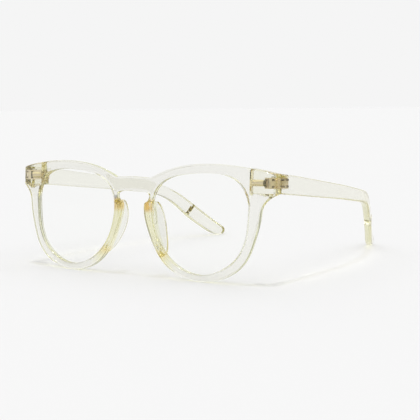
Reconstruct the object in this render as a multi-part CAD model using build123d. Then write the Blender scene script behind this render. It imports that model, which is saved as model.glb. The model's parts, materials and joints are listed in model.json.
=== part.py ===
from build123d import *
from math import asin, cos, degrees, isclose, radians, sin, sqrt
import os

# Full-rim keyhole-bridge glasses, open, standing on the lower rims and the ear tips.
# X runs across the front towards the wearer's left, Y from the front back to the ears, Z up.
# The front is modelled upright and then leaned back by FRONT_TILT. The last lines move the
# whole model so that its origin is the bottom centre of its bounding box. All sizes are mm.

# Front
FRONT_WIDTH = 141.6
FRONT_RADIUS = 620.0        # wrap of the front, seen from above
SWEEP_X = 61.0              # outside this the end pieces sweep back
SWEEP_RADIUS = 28.0
SWEEP_ANGLE = 40.0          # more than the end pieces use, in degrees
FRONT_TILT = 3.0            # the brow leans back by this many degrees
RIM_THICKNESS = 3.2
EDGE_ROUND = 0.9
# Hinge block on the rear of each end piece
BLOCK_INNER_X = 58.6
BLOCK_BOTTOM_Z = 38.8
BLOCK_ROOT = 2.0            # the block starts this far behind the front surface
BUTT_Y = 10.0               # rear face of the block, where the temple closes
BLOCK_EDGE_ROUND = 0.4
CORNER_ROUND = 1.2          # corners of the outline at the end pieces, bridge and keyhole
# Nose pad
PAD_FLARE = 0.1             # sideways per millimetre back
PAD_EDGE_ROUND = 0.8
# Lens
LENS_RADIUS = 450.0         # front surface, a sphere
LENS_THICKNESS = 1.4
LENS_INSET = 0.7            # from the rim's front surface to the lens's front at its middle
LENS_CLEARANCE = 0.03       # all round the lens in its groove
LENS_SEAT = 0.6             # how far the lens's edge reaches into the rim
LENS_BEVEL = 0.25           # chamfer along the lens's edge
# Hinge
PIVOT_X, PIVOT_Y = 66.2, 11.75
BARREL_RADIUS = 1.45
BARREL_BOTTOM, BARREL_TOP = 41.1, 45.7
MIDDLE_KNUCKLE = 1.4
KNUCKLE_GAP = 0.1
SCREW_RADIUS = 0.6
SCREW_CLEARANCE = 0.05      # between the screw and the middle knuckle
SCREW_HEAD_RADIUS, SCREW_HEAD_HEIGHT, SCREW_HEAD_ROUND = 1.15, 0.6, 0.25
SLOT_WIDTH, SLOT_DEPTH = 0.35, 0.25
NECK_INSET = 0.7            # the front knuckles' necks are this much narrower than the barrel
ANCHOR_RADIUS, ANCHOR_LENGTH = 0.45, 1.1
BODY_GAP = 0.3              # between the temple and the front
FRONT_LEAF = (64.6, 69.7)   # the front hinge's block runs between these, across the end piece
FRONT_LEAF_Y = 7.8
TAIL_RADIUS, TAIL_Y, TAIL_END_X = 1.4, 7.4, 59.4
TEMPLE_LEAF = (66.1, 67.5)  # the temple hinge's leaf, seen from the front
TEMPLE_LEAF_LENGTH = 5.0

HALF_WIDTH = FRONT_WIDTH / 2
FRONT_HEIGHT = 60.0             # more than the height of the front, for tools that cut it
SWEEP_MIDDLE = Vector(0, FRONT_RADIUS) + Vector(SWEEP_X, -sqrt(FRONT_RADIUS**2 - SWEEP_X**2)) * (
    1 - SWEEP_RADIUS / FRONT_RADIUS)
BARREL_MIDDLE = (BARREL_BOTTOM + BARREL_TOP) / 2

# Half of the front's outline as (x, z): brow, underside of the end piece and rim, keyhole
BRIDGE_TOP = (0, 44.5)
BROW = [(9.6, 44.1), (15.2, 46.6), (23.5, 49.2), (32.0, 50.5), (43.1, 50.9), (54.3, 50.1),
        (HALF_WIDTH, 47.4)]
RIM = [(HALF_WIDTH, 38.6), (67.6, 36.5), (65.3, 33.7), (64.3, 28.8), (62.1, 19.6), (57.9, 9.9),
       (51.1, 3.7), (43.5, 0.8), (35.6, 0.0), (26.8, 1.4), (18.8, 5.6), (12.2, 13.6), (7.9, 22.9),
       (6.3, 30.3), (6.6, 33.2)]
KEYHOLE = [(6.6, 33.2), (8.9, 34.9), (9.0, 36.4), (7.2, 37.5), (4.5, 38.0), (0, 38.2)]
OPENING = [(58.9, 32.0), (57.3, 39.0), (52.8, 44.1), (46.0, 46.5), (37.0, 46.9), (27.9, 46.1),
           (20.0, 44.3), (13.8, 40.1), (10.8, 33.0), (11.4, 24.0), (15.2, 14.8), (22.2, 7.6),
           (31.2, 3.5), (38.6, 3.1), (47.1, 6.1), (53.5, 11.2), (57.6, 19.5)]
OPENING_MIDDLE = (35.0, 25.2)
# Foot of the nose pad on the rear of the rim as (x, z), and the pad's side view as (y, z)
PAD_NOSE_SIDE = [(7.6, 33.6), (7.7, 30.0), (8.9, 23.0), (11.5, 15.6), (15.4, 8.4)]
PAD_LENS_SIDE = [(17.8, 8.4), (14.2, 15.6), (11.6, 23.0), (10.7, 30.0), (10.4, 33.6)]
PAD_BACK = [(2.0, 34.0), (6.4, 33.2), (9.0, 29.8), (10.3, 25.5), (10.1, 21.0), (8.8, 16.2),
            (6.2, 11.6), (2.0, 8.8)]
# The left temple in the side view as (y, z), from the top of its front end right round to the bottom
TEMPLE_SIDE = [(10.0, 47.4), (30.0, 44.6), (50.0, 41.5), (70.0, 38.4), (85.0, 36.0), (97.0, 34.1),
               (106.0, 32.3), (114.0, 29.3), (122.0, 24.6), (131.0, 17.7), (140.0, 10.5), (147.2, 5.3),
               (149.4, 3.0), (148.9, 0.9), (146.6, 0.1), (141.4, 1.35), (134.0, 6.2), (126.0, 12.4),
               (119.0, 18.7), (112.5, 23.4), (106.0, 26.2), (97.0, 28.0), (85.0, 29.6), (70.0, 31.6),
               (50.0, 34.0), (30.0, 36.4), (10.0, 38.8)]
# The same temple from above as (x, y): middle line, with its thickness tapering to the end
TEMPLE_MIDDLE = [(68.9, 10.0), (69.6, 28.0), (70.0, 50.0), (69.7, 68.0), (68.4, 85.0), (66.5, 97.0),
                 (63.9, 107.0), (60.0, 118.0), (55.6, 129.5), (51.4, 139.0), (47.6, 150.0)]
TEMPLE_THICKNESS, TEMPLE_THINNEST = 3.8, 3.6
TEMPLE_ROUND = 0.9
# Joint between arm and tip: its middle, and the temple's slope there in degrees
SEAM_X, SEAM_Y, SEAM_Z = 55.8, 128.6, 17.2
SEAM_SLOPE = 39.0
TIP_EXTRA = 0.15            # the tip stands this far proud of the arm's sides
CEMENT_LINE = 0.05          # left between arm and tip
TIP_SPACE = 40.0            # more than the size of the tip, for the box that cuts it off


def mirrored(shape):
    return mirror(shape, about=Plane.YZ)


def front_prism(profile):
    """A prism along Y through the whole front, from a flat (x, z) profile."""
    return extrude(Plane.XZ * profile, amount=30, both=True)


def sag(x):
    """How far the front surface has curved back at x, between the end pieces."""
    return FRONT_RADIUS - sqrt(FRONT_RADIUS**2 - x**2)


def depth_at(point):
    """How far a point lies behind the front surface."""
    x = abs(point.X)
    if x * (FRONT_RADIUS - sag(SWEEP_X)) < SWEEP_X * (FRONT_RADIUS - point.Y):
        return FRONT_RADIUS - (Vector(x, point.Y) - Vector(0, FRONT_RADIUS)).length
    return SWEEP_RADIUS - (Vector(x, point.Y) - SWEEP_MIDDLE).length


def behind_front(depth):
    """Everything more than this depth behind the front surface."""
    turn = asin(SWEEP_X / FRONT_RADIUS)
    swept = [turn + radians(SWEEP_ANGLE) * share for share in (0, 0.5, 1)]
    arc = [SWEEP_MIDDLE + Vector(sin(angle), -cos(angle)) * (SWEEP_RADIUS - depth) for angle in swept]
    other_arc = [Vector(-point.X, point.Y) for point in arc]
    rear = [Vector(-arc[2].X, FRONT_HEIGHT), Vector(arc[2].X, FRONT_HEIGHT)]
    edge = ThreePointArc(*arc) + ThreePointArc(arc[0], Vector(0, depth), other_arc[0])
    edge += ThreePointArc(*other_arc) + Polyline(other_arc[2], *rear, arc[2])
    return Pos(0, 0, -1) * extrude(make_face(edge), amount=FRONT_HEIGHT)


def outline_half():
    edge = Line(BRIDGE_TOP, BROW[0]) + Spline(*BROW) + Line(BROW[-1], RIM[0])
    edge += Spline(*RIM) + Spline(*KEYHOLE) + Line(KEYHOLE[-1], BRIDGE_TOP)
    return make_face(edge)


def outline_prism():
    """The whole front's outline as a prism along Y, rounded at the brow's ends and the keyhole."""
    prism = front_prism(outline_half() + mirrored(outline_half()))
    rounded_heights = [point[1] for point in (BROW[0], BROW[-1], KEYHOLE[0])]
    corners = [e for e in prism.edges().filter_by(Axis.Y)
               if any(isclose(e.center().Z, height, abs_tol=0.01) for height in rounded_heights)]
    return fillet(corners, CORNER_ROUND)


def opening(grow=0.0):
    """The lens opening, with its points moved out from the middle by grow."""
    middle = Vector(*OPENING_MIDDLE)
    points = [Vector(*point) for point in OPENING]
    return make_face(Spline(*[p + (p - middle).normalized() * grow for p in points], periodic=True))


def on_face(edge, depth):
    """True if the edge lies at this depth behind the front surface all along."""
    return all(isclose(depth_at(edge.position_at(share)), depth, abs_tol=0.02) for share in (0.1, 0.5, 0.9))


def hinge_block():
    """The thicker rear of the left end piece, whose flat rear face meets the temple."""
    low_corner = (Align.MIN, Align.MIN, Align.MIN)
    space = Pos(BLOCK_INNER_X, 0, BLOCK_BOTTOM_Z) * Box(HALF_WIDTH, BUTT_Y, FRONT_HEIGHT, align=low_corner)
    block = outline_prism() & space & behind_front(BLOCK_ROOT)
    block = fillet(block.faces().sort_by(Axis.Y)[-1].edges(), BLOCK_EDGE_ROUND)
    return block - front_prism(opening(EDGE_ROUND))


def lens(clearance=0.0):
    """The left lens, with a bevel round its edge that sits in the rim, or its groove with clearance."""
    middle_x, middle_z = OPENING_MIDDLE
    facing = Rot(0, 0, degrees(asin(middle_x / FRONT_RADIUS)))
    centre = Pos(middle_x, sag(middle_x) + LENS_INSET, middle_z) * facing * Pos(0, LENS_RADIUS, 0)
    blank = centre * (Sphere(LENS_RADIUS + clearance) - Sphere(LENS_RADIUS - LENS_THICKNESS - clearance))
    cut = front_prism(opening(LENS_SEAT + clearance)) & blank
    return chamfer(cut.edges().sort_by(SortBy.LENGTH)[-2:], LENS_BEVEL)


def nose_pad():
    """The left pad: a wall that flares back from the inner side of the rim."""
    foot = Spline(*PAD_NOSE_SIDE) + Line(PAD_NOSE_SIDE[-1], PAD_LENS_SIDE[0])
    foot += Spline(*PAD_LENS_SIDE) + Line(PAD_LENS_SIDE[-1], PAD_NOSE_SIDE[0])
    wall = extrude(Plane.XZ * make_face(foot), amount=14, dir=(PAD_FLARE, 1, 0))
    back = Spline(*PAD_BACK) + Line(PAD_BACK[-1], PAD_BACK[0])
    side_view = extrude(Plane.YZ * make_face(back), amount=30)
    pad = wall & side_view
    pad = fillet([e for e in pad.edges() if e.length > 15 and e.center().Y > 4], PAD_EDGE_ROUND)
    return pad & behind_front(RIM_THICKNESS)


def barrel(bottom, top, bore):
    """A hinge knuckle round the pivot, between two heights."""
    ring = Cylinder(BARREL_RADIUS, top - bottom) - Cylinder(bore, top - bottom)
    return Pos(PIVOT_X, PIVOT_Y, (bottom + top) / 2) * ring


def middle_knuckle_span(gap):
    return BARREL_MIDDLE - MIDDLE_KNUCKLE / 2 - gap, BARREL_MIDDLE + MIDDLE_KNUCKLE / 2 + gap


def front_hinge():
    """The left end piece's half: a block and a round tail inside the plastic, and two knuckles."""
    low, high = middle_knuckle_span(KNUCKLE_GAP)
    block_x = (FRONT_LEAF[0] + FRONT_LEAF[1]) / 2
    leaf = Pos(block_x, (FRONT_LEAF_Y + BUTT_Y) / 2, BARREL_MIDDLE)
    hinge = leaf * Box(FRONT_LEAF[1] - FRONT_LEAF[0], BUTT_Y - FRONT_LEAF_Y, BARREL_TOP - BARREL_BOTTOM)
    tail = Cylinder(TAIL_RADIUS, FRONT_LEAF[0] - TAIL_END_X + 1, rotation=(0, 90, 0))
    hinge += Pos((TAIL_END_X + FRONT_LEAF[0] + 1) / 2, TAIL_Y, BARREL_MIDDLE) * tail
    for x in (FRONT_LEAF[0] + 2 * ANCHOR_RADIUS, FRONT_LEAF[1] - 2 * ANCHOR_RADIUS):
        for z in (BARREL_BOTTOM + 2 * ANCHOR_RADIUS, BARREL_TOP - 2 * ANCHOR_RADIUS):
            anchor = Cylinder(ANCHOR_RADIUS, ANCHOR_LENGTH, rotation=(90, 0, 0))
            hinge += Pos(x, FRONT_LEAF_Y - ANCHOR_LENGTH / 2, z) * anchor
    neck_width = 2 * BARREL_RADIUS - NECK_INSET
    neck_x = PIVOT_X - BARREL_RADIUS + neck_width / 2
    for bottom, top in ((BARREL_BOTTOM, low), (high, BARREL_TOP)):
        neck = Box(neck_width, PIVOT_Y - BUTT_Y, top - bottom)
        neck = Pos(neck_x, (BUTT_Y + PIVOT_Y) / 2, (bottom + top) / 2) * neck
        bore = Pos(PIVOT_X, PIVOT_Y, (bottom + top) / 2) * Cylinder(SCREW_RADIUS, top - bottom)
        hinge += barrel(bottom, top, SCREW_RADIUS) + (neck - bore)
    return hinge


def temple_hinge():
    """The left temple's half: one knuckle and a leaf let into the temple's inner face."""
    low, high = middle_knuckle_span(0)
    bore = SCREW_RADIUS + SCREW_CLEARANCE
    leaf_start = PIVOT_Y + BARREL_RADIUS + BODY_GAP
    leaf_x = (TEMPLE_LEAF[0] + TEMPLE_LEAF[1]) / 2
    leaf = Box(TEMPLE_LEAF[1] - TEMPLE_LEAF[0], TEMPLE_LEAF_LENGTH, BARREL_TOP - BARREL_BOTTOM)
    hinge = Pos(leaf_x, leaf_start + TEMPLE_LEAF_LENGTH / 2, BARREL_MIDDLE) * leaf
    neck = Box(TEMPLE_LEAF[1] - TEMPLE_LEAF[0], leaf_start - PIVOT_Y, high - low)
    neck = Pos(leaf_x, (PIVOT_Y + leaf_start) / 2, BARREL_MIDDLE) * neck
    hinge += neck - Pos(PIVOT_X, PIVOT_Y, BARREL_MIDDLE) * Cylinder(bore, high - low)
    hinge += barrel(low, high, bore)
    for y in (leaf_start + 2 * ANCHOR_RADIUS, leaf_start + TEMPLE_LEAF_LENGTH - 2 * ANCHOR_RADIUS):
        for z in (BARREL_BOTTOM + 2 * ANCHOR_RADIUS, BARREL_TOP - 2 * ANCHOR_RADIUS):
            anchor = Cylinder(ANCHOR_RADIUS, ANCHOR_LENGTH, rotation=(0, 90, 0))
            hinge += Pos(TEMPLE_LEAF[1] + ANCHOR_LENGTH / 2, y, z) * anchor
    return hinge


def hinge_screw():
    """A slotted screw through the three knuckles, put in from the top."""
    shank = Cylinder(SCREW_RADIUS, BARREL_TOP - BARREL_BOTTOM)
    head = Cylinder(SCREW_HEAD_RADIUS, SCREW_HEAD_HEIGHT)
    head = fillet(head.edges().sort_by(Axis.Z)[-1], SCREW_HEAD_ROUND)
    head -= Pos(0, 0, SCREW_HEAD_HEIGHT / 2) * Box(4 * SCREW_HEAD_RADIUS, SLOT_WIDTH, 2 * SLOT_DEPTH)
    screw = Pos(0, 0, BARREL_MIDDLE) * shank + Pos(0, 0, BARREL_TOP + SCREW_HEAD_HEIGHT / 2) * head
    return Pos(PIVOT_X, PIVOT_Y, 0) * screw


def front_frame():
    """Both rims, the bridge and the end pieces in one moulding, cut for the pieces set in it."""
    frame = outline_prism() & (behind_front(0) - behind_front(RIM_THICKNESS))
    frame -= front_prism(opening() + mirrored(opening()))
    for depth in (0, RIM_THICKNESS):
        frame = fillet([e for e in frame.edges() if on_face(e, depth)], EDGE_ROUND)
    frame += hinge_block() + mirrored(hinge_block())
    for piece in (lens(LENS_CLEARANCE), nose_pad(), front_hinge()):
        frame -= piece + mirrored(piece)
    return frame


def temple_side(side, extra):
    """One side of the temple seen from above, at half its thickness plus extra from the middle."""
    points = []
    for i, (x, y) in enumerate(TEMPLE_MIDDLE):
        share = i / (len(TEMPLE_MIDDLE) - 1)
        half = (TEMPLE_THICKNESS * (1 - share) + TEMPLE_THINNEST * share) / 2 + extra
        points.append((x + side * half, y))
    return points


def temple_blank(extra=0.0):
    """The left temple from joint to end, thicker by extra on each side."""
    inner, outer = temple_side(-1, extra), temple_side(1, extra)
    plan = Spline(*inner) + Line(inner[-1], outer[-1]) + Spline(*outer) + Line(inner[0], outer[0])
    side_view = Spline(*TEMPLE_SIDE) + Line(TEMPLE_SIDE[-1], TEMPLE_SIDE[0])
    seen_from_above = extrude(make_face(plan), amount=FRONT_HEIGHT, both=True)
    return seen_from_above & extrude(Plane.YZ * make_face(side_view), amount=FRONT_WIDTH)


def rounded(blank):
    """Round the edges that run along the temple and round its end, but not those at the joint."""
    return fillet([e for e in blank.edges() if e.length > 20], TEMPLE_ROUND)


def behind_seam(gap):
    """A box round the whole tip, which starts this far behind the joint between arm and tip."""
    at_seam = Pos(SEAM_X, SEAM_Y, SEAM_Z) * Rot(-SEAM_SLOPE, 0, 0)
    return at_seam * Pos(0, TIP_SPACE / 2 + gap, 0) * Box(TIP_SPACE, TIP_SPACE, TIP_SPACE)


def temple_arm(hinge):
    """The left arm, cut to clear the barrel and the butt joint and to hold its half of the hinge."""
    barrel_room = Pos(PIVOT_X, PIVOT_Y, BARREL_MIDDLE) * Cylinder(BARREL_RADIUS + BODY_GAP, 20)
    front_room = Pos(PIVOT_X, BUTT_Y + BODY_GAP - 5, BARREL_MIDDLE) * Box(20, 10, 20)
    arm = rounded(temple_blank()) - behind_seam(0)
    return arm - front_place * (barrel_room + front_room + hinge)


def temple_tip():
    return rounded(temple_blank(TIP_EXTRA)) & behind_seam(CEMENT_LINE)


# The front leans back about the X axis and is lifted until its rims stand at height zero
rim_bottom_rear = sag(RIM[8][0]) + RIM_THICKNESS - EDGE_ROUND
front_place = Pos(0, 0, rim_bottom_rear * sin(radians(FRONT_TILT))) * Rot(-FRONT_TILT, 0, 0)

left = {"lens": lens(), "nose_pad": nose_pad(), "front_hinge": front_hinge(), "hinge_screw": hinge_screw()}
left = {name: front_place * piece for name, piece in left.items()}
left["temple_hinge"] = front_place * temple_hinge()
left["temple_arm"] = temple_arm(temple_hinge())
left["temple_tip"] = temple_tip()

nodes = {"front_frame": front_place * front_frame()}
for name, piece in left.items():
    nodes["left_" + name] = piece
    nodes["right_" + name] = mirrored(piece)

boxes = [piece.bounding_box() for piece in nodes.values()]
front_y, rear_y = min(box.min.Y for box in boxes), max(box.max.Y for box in boxes)
to_origin = Pos(0, -(front_y + rear_y) / 2, -min(box.min.Z for box in boxes))
os.makedirs("parts", exist_ok=True)
for name, piece in nodes.items():
    export_step(to_origin * piece, f"parts/{name}.step")
pivot = to_origin * front_place * Pos(PIVOT_X, PIVOT_Y, BARREL_MIDDLE)
print("left pivot", pivot.position, "origin moved by", to_origin.position)
print("lowest points", [round(box.min.Z, 3) for box in boxes])
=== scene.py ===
import bmesh
import bpy
from math import cos, radians, sin
from mathutils import Matrix, Vector
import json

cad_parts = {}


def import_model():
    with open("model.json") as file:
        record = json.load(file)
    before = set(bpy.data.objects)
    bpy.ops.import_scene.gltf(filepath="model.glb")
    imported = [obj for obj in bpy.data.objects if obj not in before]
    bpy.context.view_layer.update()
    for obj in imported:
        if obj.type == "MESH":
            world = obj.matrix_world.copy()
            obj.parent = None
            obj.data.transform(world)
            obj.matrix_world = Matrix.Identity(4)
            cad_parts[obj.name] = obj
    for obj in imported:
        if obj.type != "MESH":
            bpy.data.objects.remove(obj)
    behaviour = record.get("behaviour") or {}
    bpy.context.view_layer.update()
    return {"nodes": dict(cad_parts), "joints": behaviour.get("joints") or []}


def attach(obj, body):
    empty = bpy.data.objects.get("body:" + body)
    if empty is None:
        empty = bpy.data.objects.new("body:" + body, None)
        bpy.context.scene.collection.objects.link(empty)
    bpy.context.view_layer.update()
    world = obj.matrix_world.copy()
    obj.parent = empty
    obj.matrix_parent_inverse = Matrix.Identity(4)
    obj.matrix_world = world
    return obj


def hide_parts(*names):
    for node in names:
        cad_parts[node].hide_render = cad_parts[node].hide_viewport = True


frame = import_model()

# Camera: where it looks from, in degrees, and the point it turns about, in metres
CAMERA_AZIMUTH, CAMERA_ELEVATION, CAMERA_ROLL = 33.798, 5.736, 0.642
CAMERA_DISTANCE, CAMERA_RIGHT, CAMERA_UP = 0.4664, 0.03592, 0.02916
CAMERA_LENS, SENSOR_WIDTH = 89.0, 36.0              # in millimetres
CLIP_NEAR, CLIP_FAR = 0.01, 50.0
FRONT_ORIGIN = Vector((0, -0.07504, 0))             # middle of the front's face, at the floor
LEAN = 0.0524                                       # the front leans back by this much of its height

# Room: brightness of the backdrop, the side walls and the ceiling, then the floor and the lamp
BACKDROP, SIDE_BRIGHTNESS, TOP_BRIGHTNESS = 0.913, 0.45, 1.1
SIDE_WALLS, TOP_EDGE = (0.25, 0.75), (0.5, 0.8)     # where walls and ceiling blend into the rest
FLOOR_SIZE, FLOOR_COLOUR = 40, 0.8
LAMP_ENERGY, LAMP_SPREAD = 0.71, 4.0
BOUNCES = 48                                        # enough for light to leave the long way through the rims

# Plastic: colours of the flat faces, of the painted olive shade on the edges and of the painted amber glow
PLASTIC_IOR, PLASTIC_ROUGHNESS = 1.49, 0.05
PLASTIC_TINT, PLASTIC_DENSITY = (0.76, 0.70, 0.06), 30.0
# the edge colours are painted shade, tinted olive
FACE_COLOUR, PAINTED_EDGE_SHADE = (0.950, 0.952, 0.968), (0.84, 0.86, 0.60)
TEMPLE_PAINTED_EDGE_SHADE = (0.88, 0.88, 0.76)
# painted amber and gold glow, and a pale painted olive shade, for the front's ends and beside the nose
AMBER_GLOW, GOLD_GLOW, OLIVE_SHADE = (0.80, 0.54, 0.18), (0.90, 0.80, 0.48), (0.91, 0.90, 0.70)
EDGE_SHADE_TURN = (0.75, 0.15)                            # how flat a face is where the painted edge shade starts and is full
SHADOW_TINT, LENS_SHADOW_TINT = (0.80, 0.79, 0.76), (0.985, 0.985, 0.98)
LENS_IOR = 1.12                                     # low, because the coating stops most reflection
LENS_COLOUR = (0.995, 0.998, 0.99)

# Places on the front, in metres: painted shade and glow by distance from the middle, and by height beside the
# nose
EDGE_SHADE_AND_GLOW_BANDS = ((0, PAINTED_EDGE_SHADE), (0.0680, PAINTED_EDGE_SHADE), (0.0706, GOLD_GLOW))
NOSE_SHADE_AND_GLOW_BANDS = ((0.0075, OLIVE_SHADE), (0.0105, GOLD_GLOW), (0.014, OLIVE_SHADE), (0.028, OLIVE_SHADE), (0.0305, AMBER_GLOW),
              (0.035, AMBER_GLOW))
NOSE_TOP, NOSE_HALF_WIDTH, NOSE_CURVE = 0.033, 0.0063, 17.0     # the parabola of the rims' inner sides
NOSE_BAND = (0.0030, 0.0045)                        # width of the band of painted glow and shade along the parabola
NOSE_BAND_FOOT, NOSE_BAND_TOP = (0.0030, 0.0080), (0.0335, 0.0355)
PAD_FOOT = FRONT_ORIGIN.y + 0.0036                  # the pads' feet start in front of this depth
PAD_REACH, PAD_BLEND = 0.021, 0.001                 # the pads end this far from the middle
PAD_CLARITY = 0.95                                  # how much of the painted olive edge shade the pads do without
PAD_FLARE, PAD_SINK = 0.1, 0.0006                   # sideways per metre back, and how far the feet go in

# Metal: pins are darker, and lie further out and further forward or back than these
BRASS, PIN_BRASS, STEEL = (0.90, 0.80, 0.62), (0.30, 0.26, 0.18), (0.75, 0.73, 0.68)
BRASS_ROUGHNESS, STEEL_ROUGHNESS = 0.35, 0.25
FRONT_PINS, TEMPLE_PINS = (0.0647, 0.0076), (0.06755, 0.0130)
METAL_GRAIN, METAL_DETAIL, METAL_VARIATION = 900.0, 3.0, 0.3

# Plastic round the metal, as boxes in millimetres from the pivot
FRONT_FILLS = (((-1.7, -5.2, -2.4), (3.6, -1.78, 2.4)), ((-7.0, -6.0, -1.6), (-1.5, -2.8, 1.6)))
ARM_FILL = ((0.95, 1.6, -2.4), (2.6, 7.2, 2.4))
MILLIMETRE = 0.001
WELD_DISTANCE = 1e-6
SHARP_ANGLE, LARGE_FACE_WEIGHT = 35, 100            # for smooth shading that keeps flat faces flat


def camera():
    """The camera, aimed at a point beside and above the front's origin as the camera sees it."""
    azimuth, elevation, roll = (radians(angle) for angle in (CAMERA_AZIMUTH, CAMERA_ELEVATION, CAMERA_ROLL))
    back = Vector((sin(azimuth) * cos(elevation), -cos(azimuth) * cos(elevation), sin(elevation)))
    right = Vector((cos(azimuth), sin(azimuth), 0))
    up = back.cross(right)
    target = FRONT_ORIGIN + right * CAMERA_RIGHT + up * CAMERA_UP
    x_axis = right * cos(roll) - up * sin(roll)
    y_axis = right * sin(roll) + up * cos(roll)
    data = bpy.data.cameras.new("camera")
    data.lens, data.sensor_width = CAMERA_LENS, SENSOR_WIDTH
    data.clip_start, data.clip_end = CLIP_NEAR, CLIP_FAR
    view = bpy.data.objects.new("camera", data)
    view.matrix_world = Matrix.Translation(target + back * CAMERA_DISTANCE) @ Matrix(
        (x_axis, y_axis, back)).transposed().to_4x4()
    bpy.context.collection.objects.link(view)
    bpy.context.scene.camera = view


def welded_copy(node, name):
    """A new object with a CAD node's mesh, its vertices joined where the CAD faces meet."""
    made = bpy.data.objects.new(name, frame["nodes"][node].data.copy())
    bpy.context.collection.objects.link(made)
    shape = bmesh.new()
    shape.from_mesh(made.data)
    bmesh.ops.remove_doubles(shape, verts=shape.verts, dist=WELD_DISTANCE)
    shape.to_mesh(made.data)
    shape.free()
    return made


def hinge_space(side):
    """The frame that follows the hinge: origin at the pivot, Z along it, X away from the nose."""
    joint = next(each for each in frame["joints"] if each["name"] == side + "_fold")
    z_axis = Vector(joint["axis"])
    z_axis *= 1 if z_axis.z > 0 else -1
    x_axis = Vector((1 if side == "left" else -1, 0, 0))
    y_axis = Vector((0, z_axis.z, -z_axis.y))
    return Matrix.Translation(joint["pos_m"]) @ Matrix((x_axis, y_axis, z_axis)).transposed().to_4x4()


def block(space, low, high):
    """A box in millimetres between two corners, in the given space, as a new object."""
    shape = bmesh.new()
    bmesh.ops.create_cube(shape, size=1)
    for vertex in shape.verts:
        corner = [(low[i] + high[i]) / 2 + vertex.co[i] * (high[i] - low[i]) for i in range(3)]
        vertex.co = space @ (Vector(corner) * MILLIMETRE)
    bmesh.ops.recalc_face_normals(shape, faces=shape.faces)
    mesh = bpy.data.meshes.new("block")
    shape.to_mesh(mesh)
    shape.free()
    made = bpy.data.objects.new("block", mesh)
    bpy.context.collection.objects.link(made)
    return made


def fuse(target, others):
    """Adds the other objects to the target's mesh and removes them."""
    for other in others:
        step = target.modifiers.new("step", "BOOLEAN")
        step.operation, step.object, step.solver = "UNION", other, "EXACT"
        bpy.context.view_layer.update()
        evaluated = target.evaluated_get(bpy.context.evaluated_depsgraph_get())
        result = bpy.data.meshes.new_from_object(evaluated)
        target.modifiers.clear()
        target.data = result
        bpy.data.objects.remove(other)


def coat(shell, material):
    """Shades a shell's curves smoothly up to its sharp edges, and gives it one material."""
    for face in shell.data.polygons:
        face.use_smooth = True
    shell.data.set_sharp_from_angle(angle=radians(SHARP_ANGLE))
    weighted = shell.modifiers.new("normals", "WEIGHTED_NORMAL")
    weighted.keep_sharp, weighted.weight, weighted.mode = True, LARGE_FACE_WEIGHT, "FACE_AREA"
    shell.data.materials.clear()
    shell.data.materials.append(material)


def front_shell(material):
    """Frame and pads as one clear body, filled where the hinges' metal is set into it."""
    shell = welded_copy("front_frame", "front_shell")
    for side, sign in (("left", 1), ("right", -1)):
        pad = welded_copy(side + "_nose_pad", "pad")
        for vertex in pad.data.vertices:
            if vertex.co.y - vertex.co.z * LEAN < PAD_FOOT:
                vertex.co += Vector((-PAD_FLARE * sign, -1, 0)) * PAD_SINK
        fills = [block(hinge_space(side), low, high) for low, high in FRONT_FILLS]
        fuse(shell, [pad, *fills])
    coat(shell, material)
    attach(shell, "front")
    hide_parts("front_frame", "left_nose_pad", "right_nose_pad")


def arm_shell(side, material):
    """One temple's arm, filled where its half of the hinge is set into it."""
    arm = welded_copy(side + "_temple_arm", side + "_arm_shell")
    fuse(arm, [block(hinge_space(side), *ARM_FILL)])
    coat(arm, material)
    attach(arm, side + "_temple")
    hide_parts(side + "_temple_arm")


class Nodes:
    """Makes and joins the nodes of one material or world. A value can be a number, a tuple or a socket."""

    def __init__(self, owner):
        owner.use_nodes = True
        self.tree = owner.node_tree
        self.tree.nodes.clear()

    def put(self, value, socket):
        if isinstance(value, bpy.types.NodeSocket):
            self.tree.links.new(value, socket)
        else:
            socket.default_value = value

    def add(self, kind, **inputs):
        """A new node. An underscore in an input's name stands for the space in Blender's name for it."""
        node = self.tree.nodes.new(kind)
        for name, value in inputs.items():
            self.put(value, node.inputs[name.replace("_", " ")])
        return node

    def maths(self, operation, *values):
        """One step of arithmetic, as a socket."""
        node = self.add("ShaderNodeMath")
        node.operation = operation
        for value, socket in zip(values, node.inputs):
            self.put(value, socket)
        return node.outputs[0]

    def along(self, vector, direction):
        """How far a vector points along a direction or against it, as a socket."""
        node = self.add("ShaderNodeVectorMath")
        node.operation = "DOT_PRODUCT"
        for value, socket in zip((vector, direction), node.inputs):
            self.put(value, socket)
        return self.maths("ABSOLUTE", node.outputs["Value"])

    def ramp(self, value, start, end, first=0, last=1, kind="LINEAR"):
        """The first value up to the start, the last from the end on, and between them a ramp, as a socket."""
        node = self.add("ShaderNodeMapRange", Value=value, From_Min=start, From_Max=end, To_Min=first,
                        To_Max=last)
        node.interpolation_type = kind
        return node.outputs[0]

    def falling(self, value, start, end):
        return self.ramp(value, start, end, 1, 0)

    def blend(self, share, first, second):
        """The first colour where the share is 0 and the second where it is 1, as a socket."""
        node = self.add("ShaderNodeMix", Factor=share)
        node.data_type = "RGBA"
        self.put(first, node.inputs["A"])
        self.put(second, node.inputs["B"])
        return node.outputs["Result"]

    def bands(self, distance, stops):
        """A colour that changes with a distance, as a socket."""
        reach = stops[-1][0]
        node = self.add("ShaderNodeValToRGB", Fac=self.ramp(distance, 0, reach))
        node.color_ramp.interpolation = "EASE"
        while len(node.color_ramp.elements) < len(stops):
            node.color_ramp.elements.new(0.5)
        for element, (place, colour) in zip(node.color_ramp.elements, stops):
            element.position = place / reach
            element.color = (*colour, 1)
        return node.outputs["Color"]


def place_on_object(nodes):
    """Distance from the middle, depth with the front's lean taken out, and height, as sockets."""
    place = nodes.add("ShaderNodeSeparateXYZ", Vector=nodes.add("ShaderNodeTexCoord").outputs["Object"])
    sideways = nodes.maths("ABSOLUTE", place.outputs["X"])
    depth = nodes.maths("MULTIPLY_ADD", place.outputs["Z"], -LEAN, place.outputs["Y"])
    return sideways, depth, place.outputs["Z"]


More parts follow.
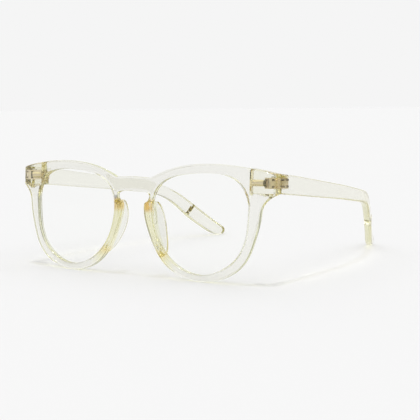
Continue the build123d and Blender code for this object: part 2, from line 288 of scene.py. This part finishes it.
def front_tint_with_painted_light(nodes, painted_shade_amount):
    """The front's tint: clear faces and pads, painted olive shade on the edges, painted gold glow at the
    ends, and painted olive shade and amber glow by the nose.
    """
    sideways, depth, height = place_on_object(nodes)
    rim = nodes.falling(depth, PAD_FOOT, PAD_FOOT + PAD_BLEND)
    off_pads = nodes.maths("MAXIMUM", rim, nodes.maths("GREATER_THAN", sideways, PAD_REACH))
    # painted olive shade on the edges, left off most of the pads
    edges = nodes.maths("MULTIPLY", painted_shade_amount, nodes.maths("MAXIMUM", off_pads, 1 - PAD_CLARITY))
    tint = nodes.blend(edges, (*FACE_COLOUR, 1), nodes.bands(sideways, EDGE_SHADE_AND_GLOW_BANDS))
    # painted glow and shade in a band along the rims' inner sides by the nose
    below = nodes.maths("SUBTRACT", NOSE_TOP, height)
    squared = nodes.maths("MULTIPLY", below, below)
    outline = nodes.maths("MULTIPLY_ADD", squared, NOSE_CURVE, NOSE_HALF_WIDTH)
    painted_nose_glow = nodes.falling(nodes.maths("SUBTRACT", sideways, outline), *NOSE_BAND)
    above_foot = nodes.maths("SUBTRACT", 1, nodes.falling(height, *NOSE_BAND_FOOT))
    for share in (above_foot, nodes.falling(height, *NOSE_BAND_TOP), rim):
        painted_nose_glow = nodes.maths("MULTIPLY", painted_nose_glow, share)
    return nodes.blend(painted_nose_glow, tint, nodes.bands(height, NOSE_SHADE_AND_GLOW_BANDS))


def temple_tint_with_painted_shade(nodes, painted_shade_amount):
    """A temple's tint: clear faces, and painted shade on the edges, paler than the front's."""
    return nodes.blend(painted_shade_amount, (*FACE_COLOUR, 1), (*TEMPLE_PAINTED_EDGE_SHADE, 1))


def faint_shadow(nodes, shader, shadow_tint):
    """The shader with light shining through it, so that its shadow is faint, as a socket."""
    clear = nodes.add("ShaderNodeBsdfTransparent", Color=(*shadow_tint, 1))
    is_shadow = nodes.add("ShaderNodeLightPath").outputs["Is Shadow Ray"]
    mix = nodes.add("ShaderNodeMixShader")
    for value, socket in zip((is_shadow, shader.outputs[0], clear.outputs[0]), mix.inputs):
        nodes.put(value, socket)
    return mix.outputs[0]


def clear_plastic(name, flat_normal, tint):
    """Clear plastic with painted olive shade on its edges, where they turn away from its flat faces."""
    material = bpy.data.materials.new(name)
    nodes = Nodes(material)
    normal = nodes.add("ShaderNodeTexCoord").outputs["Normal"]
    # painted shade: how far the surface turns from the flat faces sets how much edge shade is painted
    painted_shade_amount = nodes.ramp(nodes.along(normal, flat_normal), *EDGE_SHADE_TURN, kind="SMOOTHSTEP")
    shader = nodes.add("ShaderNodeBsdfPrincipled", Base_Color=tint(nodes, painted_shade_amount),
                       Transmission_Weight=1.0, IOR=PLASTIC_IOR, Roughness=PLASTIC_ROUGHNESS)
    volume = nodes.add("ShaderNodeVolumeAbsorption", Color=(*PLASTIC_TINT, 1), Density=PLASTIC_DENSITY)
    surface = faint_shadow(nodes, shader, SHADOW_TINT)
    nodes.add("ShaderNodeOutputMaterial", Surface=surface, Volume=volume.outputs[0])
    return material


def coated_lens():
    """Clear lens plastic with an anti-reflection coating."""
    material = bpy.data.materials.new("coated lens")
    nodes = Nodes(material)
    shader = nodes.add("ShaderNodeBsdfPrincipled", Base_Color=(*LENS_COLOUR, 1), Transmission_Weight=1.0,
                       IOR=LENS_IOR, Roughness=0.0)
    nodes.add("ShaderNodeOutputMaterial", Surface=faint_shadow(nodes, shader, LENS_SHADOW_TINT))
    return material


def metal(name, colour, pin_colour, roughness):
    """Plated metal, darker on the pins that anchor the hinges in the plastic."""
    material = bpy.data.materials.new(name)
    nodes = Nodes(material)
    sideways, depth = place_on_object(nodes)[:2]
    pins = []
    for (outer, inner_depth), past in ((FRONT_PINS, "LESS_THAN"), (TEMPLE_PINS, "GREATER_THAN")):
        pins.append(nodes.maths("MULTIPLY", nodes.maths("GREATER_THAN", sideways, outer),
                                nodes.maths(past, depth, FRONT_ORIGIN.y + inner_depth)))
    tint = nodes.blend(nodes.maths("MAXIMUM", *pins), (*colour, 1), (*pin_colour, 1))
    noise = nodes.add("ShaderNodeTexNoise", Scale=METAL_GRAIN, Detail=METAL_DETAIL)
    worn = nodes.ramp(noise.outputs["Fac"], 0, 1, roughness * (1 - METAL_VARIATION),
                      roughness * (1 + METAL_VARIATION))
    shader = nodes.add("ShaderNodeBsdfPrincipled", Base_Color=tint, Metallic=1.0, Roughness=worn)
    nodes.add("ShaderNodeOutputMaterial", Surface=shader.outputs[0])
    return material


def world():
    """A bright room with a dimmer wall on either side of the camera, which draws the plastic's edges."""
    made = bpy.data.worlds.new("studio")
    bpy.context.scene.world = made
    nodes = Nodes(made)
    azimuth = radians(CAMERA_AZIMUTH)
    direction = nodes.add("ShaderNodeTexCoord").outputs["Generated"]
    facing = nodes.along(direction, (-sin(azimuth), cos(azimuth), 0))
    walls = nodes.ramp(facing, *SIDE_WALLS, SIDE_BRIGHTNESS, BACKDROP, "SMOOTHSTEP")
    height = nodes.add("ShaderNodeSeparateXYZ", Vector=direction).outputs["Z"]
    ceiling = nodes.ramp(height, *TOP_EDGE, kind="SMOOTHSTEP")
    room = nodes.add("ShaderNodeMix", Factor=ceiling, A=walls, B=TOP_BRIGHTNESS)
    background = nodes.add("ShaderNodeBackground", Color=room.outputs[0], Strength=1.0)
    nodes.add("ShaderNodeOutputWorld", Surface=background.outputs[0])


def floor():
    """A wide pale floor under the glasses."""
    bpy.ops.mesh.primitive_plane_add(size=FLOOR_SIZE, location=(0, 0, 0))
    plane = bpy.context.object
    plane.name = "floor"
    material = bpy.data.materials.new("floor")
    nodes = Nodes(material)
    diffuse = nodes.add("ShaderNodeBsdfDiffuse", Color=(FLOOR_COLOUR, FLOOR_COLOUR, FLOOR_COLOUR, 1))
    nodes.add("ShaderNodeOutputMaterial", Surface=diffuse.outputs[0])
    plane.data.materials.append(material)


def lamp():
    """A broad lamp straight above, which draws a thin faint shadow under the rims and the tips."""
    data = bpy.data.lights.new("lamp", "SUN")
    data.energy, data.angle = LAMP_ENERGY, radians(LAMP_SPREAD)
    bpy.context.collection.objects.link(bpy.data.objects.new("lamp", data))


bpy.context.scene.view_settings.view_transform = "Standard"
cycles = bpy.context.scene.cycles
cycles.max_bounces = cycles.transmission_bounces = BOUNCES
cycles.glossy_bounces = cycles.transparent_max_bounces = BOUNCES
camera()
world()
lamp()
floor()
frame_plastic = clear_plastic("frame plastic", (0, 1, 0), front_tint_with_painted_light)
temple_plastic = clear_plastic("temple plastic", (1, 0, 0), temple_tint_with_painted_shade)
looks = {
    "lens": coated_lens(),
    "hinge": metal("hinge metal", BRASS, PIN_BRASS, BRASS_ROUGHNESS),
    "screw": metal("screw steel", STEEL, STEEL, STEEL_ROUGHNESS),
}
for name, node in frame["nodes"].items():
    for slot in node.material_slots:
        slot.material = looks.get(name.split("_")[-1], temple_plastic)

front_shell(frame_plastic)
for side in ("left", "right"):
    arm_shell(side, temple_plastic)
